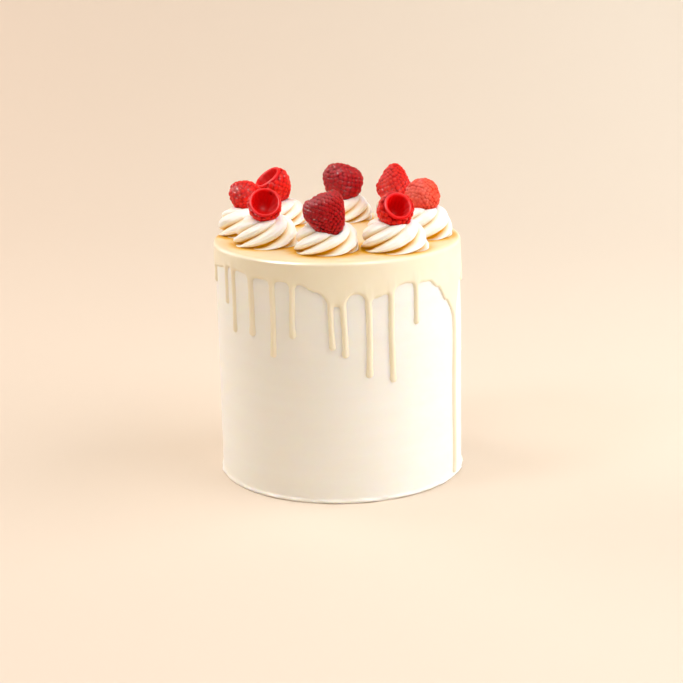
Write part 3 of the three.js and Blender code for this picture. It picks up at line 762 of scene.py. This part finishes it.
rosettes = []
for k, (x, y) in enumerate(ROSETTE_CENTRES):
    piece = made_by(swirl, f"rosette_swirl_{k + 1}", {
        "Radius": ROSETTE_RADII[k] * MM, "Height": ROSETTE_HEIGHTS[k] * MM,
        "Phase": math.radians(ROSETTE_PHASES[k]), "Seed": float(k), "Material": piped_cream})
    points = coordinates(piece)
    for other, (ox, oy) in enumerate(ROSETTE_CENTRES):
        if other != k:
            towards = np.array([ox - x, oy - y])
            half = np.linalg.norm(towards) / 2 * MM - NEIGHBOUR_GAP / 2
            along = points[:, :2] @ (towards / np.linalg.norm(towards))
            over = along > half
            points[over, :2] *= (half / along[over])[:, None]
    points += np.array([x * MM, y * MM, ROSETTE_FLOOR])
    from_axis = np.hypot(points[:, 0], points[:, 1])
    points[:, :2] *= np.minimum(1, ROSETTE_LIMIT / from_axis)[:, None]
    at, tip, width, length, taper, _, _ = BERRIES[k]
    turn = berry_turn(tip)
    local = (points - np.array(at) * MM) @ turn
    shift = (ABOVE_SHARE - BELOW_SHARE) / 2 * length * MM
    local[:, 2] += shift
    reach = np.where(local[:, 2] < 0, BELOW_SHARE, ABOVE_SHARE) * length * MM
    slim = 1 - taper * np.clip(local[:, 2] / reach, 0, 1)
    inside = np.hypot(np.hypot(local[:, 0], local[:, 1]) / (width / 2 * MM * slim), local[:, 2] / reach)
    pressed = inside < 1
    local[pressed] /= np.maximum(inside[pressed], 0.3)[:, None]
    local[:, 2] -= shift
    points = local @ turn.T + np.array(at) * MM
    points[:, 2] = np.maximum(points[:, 2], ROSETTE_FLOOR)
    set_coordinates(piece, points)
    rosettes.append(piece)
print("rosettes:", len(rosettes), "with", len(rosettes[0].data.polygons), "faces each")

# %% [markdown]
# The drupelets of a raspberry sit on its core in the same spiral as the seeds of a
# sunflower: each is a golden angle further round than the last. Geometry Nodes lay the
# points out by that rule and set a small flattened sphere on each, closer together than
# it is wide, so that they fuse. Slow noise pushes the whole fruit in and out of round.

# %% The drupelet tree: the spiral
GOLDEN_ANGLE = math.pi * (3 - math.sqrt(5))
LOWEST, HIGHEST = math.radians(-52), math.radians(88)
JITTER = 0.3 * MM
FLATNESS = 0.76
SMALLEST, LARGEST = 0.84, 1.1
cluster, given, made = shape_tree("raspberry_cluster", {
    "Count": ("NodeSocketInt", 80), "Width": (FLOAT, 0.022), "Length": (FLOAT, 0.022),
    "Taper": (FLOAT, 0.1), "Drupelet": (FLOAT, 0.0045), "Start": (FLOAT, 0.0),
    "Seed": ("NodeSocketInt", 0), "Material": ("NodeSocketMaterial", None)})
# Equal areas from rim to tip: the share of drupelets passed gives the angle up the outline.
angles = np.linspace(LOWEST, HIGHEST, 200)
ring = np.array([outline(a) for a in angles])
strip = np.hypot(*np.diff(ring, axis=0).T) * (ring[1:, 0] + ring[:-1, 0]) / 2
passed = np.concatenate([[0], np.cumsum(strip)]) / strip.sum()
risen = (angles - LOWEST) / (HIGHEST - LOWEST)
area_pairs = [(s, float(np.interp(s, passed, risen))) for s in np.linspace(0, 1, 14)]
number = add(cluster, "GeometryNodeInputIndex")
evenly = add(cluster, MATH, OVER, [add(cluster, MATH, PLUS, [number, 0.5]), given["Count"]])
rest = add(cluster, MATH, MINUS, [1.0, given["Start"]])
share = add(cluster, MATH, TIMES_PLUS, [evenly, rest, given["Start"]])
up_outline = add(cluster, CURVE, inputs={"Value": share})
set_curve(up_outline, area_pairs)
tilt = add(cluster, MATH, TIMES_PLUS, [up_outline, HIGHEST - LOWEST, LOWEST])
turn = add(cluster, MATH, TIMES, [number, GOLDEN_ANGLE])
turn_sine, turn_cosine = add(cluster, MATH, SINE, [turn]), add(cluster, MATH, COSINE, [turn])
tilt_sine, tilt_cosine = add(cluster, MATH, SINE, [tilt]), add(cluster, MATH, COSINE, [tilt])

# %% The drupelet tree: from the spiral to the fruit
blunt = add(cluster, MATH, POWER, [add(cluster, MATH, LARGER, [tilt_cosine, 0.001]), BLUNTNESS])
narrowing = add(cluster, MATH, TIMES, [add(cluster, MATH, LARGER, [tilt_sine, 0.0]), given["Taper"]])
half_width = add(cluster, MATH, TIMES_PLUS, [
    given["Width"], 0.5, add(cluster, MATH, TIMES, [given["Drupelet"], -FLATNESS / 2])])
ring_radius = add(cluster, MATH, TIMES, [
    add(cluster, MATH, TIMES, [blunt, half_width]), add(cluster, MATH, MINUS, [1.0, narrowing])])
reach = add(cluster, MATH, TIMES_PLUS, [
    add(cluster, MATH, BELOW, [tilt, 0.0]), BELOW_SHARE - ABOVE_SHARE, ABOVE_SHARE])
inner_length = add(cluster, MATH, TIMES_PLUS, [given["Drupelet"], -FLATNESS, given["Length"]])
ring_height = add(cluster, MATH, TIMES, [add(cluster, MATH, TIMES, [tilt_sine, reach]), inner_length])
seat = add(cluster, "ShaderNodeCombineXYZ", inputs=[
    add(cluster, MATH, TIMES, [turn_sine, ring_radius]),
    add(cluster, MATH, TIMES, [turn_cosine, ring_radius]), ring_height])
facing = add(cluster, "ShaderNodeCombineXYZ", inputs=[
    add(cluster, MATH, TIMES, [turn_sine, tilt_cosine]),
    add(cluster, MATH, TIMES, [turn_cosine, tilt_cosine]), add(cluster, MATH, TIMES, [tilt_sine, 0.8])])
lumps = add(cluster, "ShaderNodeTexNoise", {"noise_dimensions": "4D"}, {
    "Vector": facing, "W": given["Seed"], "Scale": 1.1, "Detail": 1.0})
uneven = add(cluster, MATH, TIMES_PLUS, [add(cluster, MATH, MINUS, [lumps, 0.5]), 0.24, 1.0])
lumpy_seat = add(cluster, "ShaderNodeVectorMath", {"operation": "SCALE"}, {0: seat, "Scale": uneven})
nudge = add(cluster, "FunctionNodeRandomValue", {"data_type": "FLOAT_VECTOR"}, {
    "Min": (-JITTER, -JITTER, -JITTER), "Max": (JITTER, JITTER, JITTER), "Seed": given["Seed"]})
loose_seat = add(cluster, "ShaderNodeVectorMath", {"operation": "ADD"}, [lumpy_seat, nudge])

# %% The drupelet tree: the drupelets
cluster_points = add(cluster, "GeometryNodePoints", inputs={"Count": given["Count"], "Position": loose_seat})
upright = add(cluster, "FunctionNodeAlignRotationToVector", {"axis": "Z"}, {"Vector": facing})
bead = add(cluster, "GeometryNodeMeshIcoSphere", inputs={"Radius": 0.5, "Subdivisions": 2})
bead_height = add(cluster, "ShaderNodeSeparateXYZ", inputs=[add(cluster, "GeometryNodeInputPosition")])
# outward is 0 low on a bead and 1 at its top; the fruit material paints the low part darker as shade.
out_share = add(cluster, "ShaderNodeMapRange", inputs={
    "Value": bead_height.outputs["Z"], "From Min": 0.14, "From Max": 0.46})
marked = add(cluster, "GeometryNodeStoreNamedAttribute", {"data_type": "FLOAT", "domain": "POINT"}, {
    "Geometry": bead, "Name": "outward", "Value": out_share})
size_draw = add(cluster, "FunctionNodeRandomValue", {"data_type": "FLOAT"}, {
    2: SMALLEST, 3: LARGEST, "Seed": given["Seed"]})
tip_small = add(cluster, MATH, TIMES_PLUS, [add(cluster, MATH, POWER, [share, 4.0]), -0.25, 1.0])
bead_size = add(cluster, MATH, TIMES, [
    add(cluster, MATH, TIMES, [size_draw.outputs[1], given["Drupelet"]]), tip_small])
bead_scale = add(cluster, "ShaderNodeCombineXYZ", inputs=[
    bead_size, bead_size, add(cluster, MATH, TIMES, [bead_size, FLATNESS])])
placed = add(cluster, "GeometryNodeInstanceOnPoints", inputs={
    "Points": cluster_points, "Instance": marked, "Rotation": upright, "Scale": bead_scale})
smooth = add(cluster, "GeometryNodeSetShadeSmooth", inputs={"Geometry": placed})
plain = add(cluster, "GeometryNodeRealizeInstances", inputs={"Geometry": smooth})
finished = add(cluster, "GeometryNodeSetMaterial", inputs={"Geometry": plain, "Material": given["Material"]})
cluster.links.new(finished.outputs[0], made.inputs[0])
print("drupelet tree:", len(cluster.nodes), "nodes")

# %% [markdown]
# Under the drupelets is a turned core, which keeps light from passing between them. Where
# a fruit shows its open end, the core is a cup: a smooth rounded rim, and inside it the
# faint ribs that the stalk left. Elsewhere its base is only dished. Core and drupelets are
# joined into one piece.

# %% The core of a raspberry
BERRY_SEGMENTS = 52
RIB_COUNT = 13


def rim_angle(hollow):
    """How far down the outline the rim of an open berry lies, for a core of this radius."""
    return -math.acos((2 * (hollow + RIM_WIDTH)) ** (1 / BLUNTNESS))


def core_shell(width, length, taper, hollow):
    """Points and faces of the core under the drupelets, base below, tip above."""
    if hollow:
        rim = outline(rim_angle(hollow))[1]
        cup = [(0.04, 0.34), (0.3, 0.32), (0.55, 0.24), (0.78, 0.1), (0.9, -0.04), (0.97, rim + 0.02)]
        inner = [(hollow * r, z) for r, z in cup]
        inner += [(hollow + 0.005, rim - 0.035), (hollow + 0.025, rim - 0.055), (hollow + 0.05, rim - 0.06),
                  (hollow + 0.075, rim - 0.04), (hollow + 0.09, rim)]
        start = math.degrees(rim_angle(hollow)) + 10
    else:
        inner = [(0.02, -0.09), (0.11, -0.10), (0.18, -0.15), (0.22, -0.21), (0.26, -0.24)]
        start = -55
    rows = [(r * width, z * length) for r, z in inner]
    rows += [outline(a, width * 0.84, length * 0.88, taper) for a in np.radians(np.arange(start, 86, 9))]
    rows = np.array(rows)
    azimuths = np.linspace(0, 2 * math.pi, BERRY_SEGMENTS, endpoint=False)
    A, R = np.meshgrid(azimuths, rows[:, 0])
    if hollow:
        R[2:7] += 0.012 * width * np.sin(RIB_COUNT * A[2:7]) * np.array([0.6, 1, 1, 0.9, 0.5])[:, None]
    return turned_grid(R, np.repeat(rows[:, 1][:, None], BERRY_SEGMENTS, axis=1), azimuths)


# %% Raspberries
SPACINGS = [2.4, 2.8, 2.6, 2.8, 3.2, 3.0, 3.1, 2.9]
OVERLAP = 1.5
RIM_CLEARANCE = 1.2

berries = []
for k, (at, tip, width, length, taper, hollow, fruit) in enumerate(BERRIES):
    w, h, spacing = width * MM, length * MM, SPACINGS[k] * MM
    drupelet = OVERLAP * spacing
    lowest = rim_angle(hollow) + RIM_CLEARANCE * drupelet / w if hollow else LOWEST
    start = float(np.interp(lowest, angles, passed))
    area = math.pi * w * h * 0.86 * (1 - 0.5 * taper) * (1 - start)
    drupelets = made_by(cluster, f"raspberry_fruit_{k + 1}", {
        "Count": int(area / (0.866 * spacing ** 2)), "Width": w, "Length": h, "Taper": taper,
        "Drupelet": drupelet, "Start": start, "Seed": k, "Material": fruit})
    shell_points, shell_faces = core_shell(w, h, taper, hollow)
    core = mesh_object(f"core_{k + 1}", shell_points, shell_faces, hollow_flesh if hollow else fruit)
    # The core takes part of the painted gap shade: 0.2 on a closed core, 0.7 inside a cup.
    depth = core.data.attributes.new("outward", "FLOAT", "POINT")
    depth.data.foreach_set("value", [0.7 if hollow else 0.2] * len(shell_points))
    with bpy.context.temp_override(active_object=drupelets, selected_editable_objects=[drupelets, core]):
        bpy.ops.object.join()
    points = coordinates(drupelets)
    points[:, 2] -= (ABOVE_SHARE - BELOW_SHARE) / 2 * h
    set_coordinates(drupelets, points @ berry_turn(tip).T + np.array(at) * MM)
    berries.append(drupelets)
print("raspberries:", [len(b.data.polygons) for b in berries])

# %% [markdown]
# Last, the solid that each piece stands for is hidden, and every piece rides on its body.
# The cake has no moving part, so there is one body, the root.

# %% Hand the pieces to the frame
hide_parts("cake")
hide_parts("drip_glaze")
for k, piece in enumerate(rosettes):
    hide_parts(f"rosette_{k + 1}")
for k, piece in enumerate(berries):
    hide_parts(f"raspberry_{k + 1}")
for piece in [cake_body, glaze_skin] + rosettes + berries:
    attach(piece, "root")

dressed_box = [list(map(float, corner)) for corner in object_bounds()]
for title, box in (("solids", cad_box), ("dressed", dressed_box)):
    print(title, "box in mm:", np.round(np.array(box) / MM, 1).tolist())
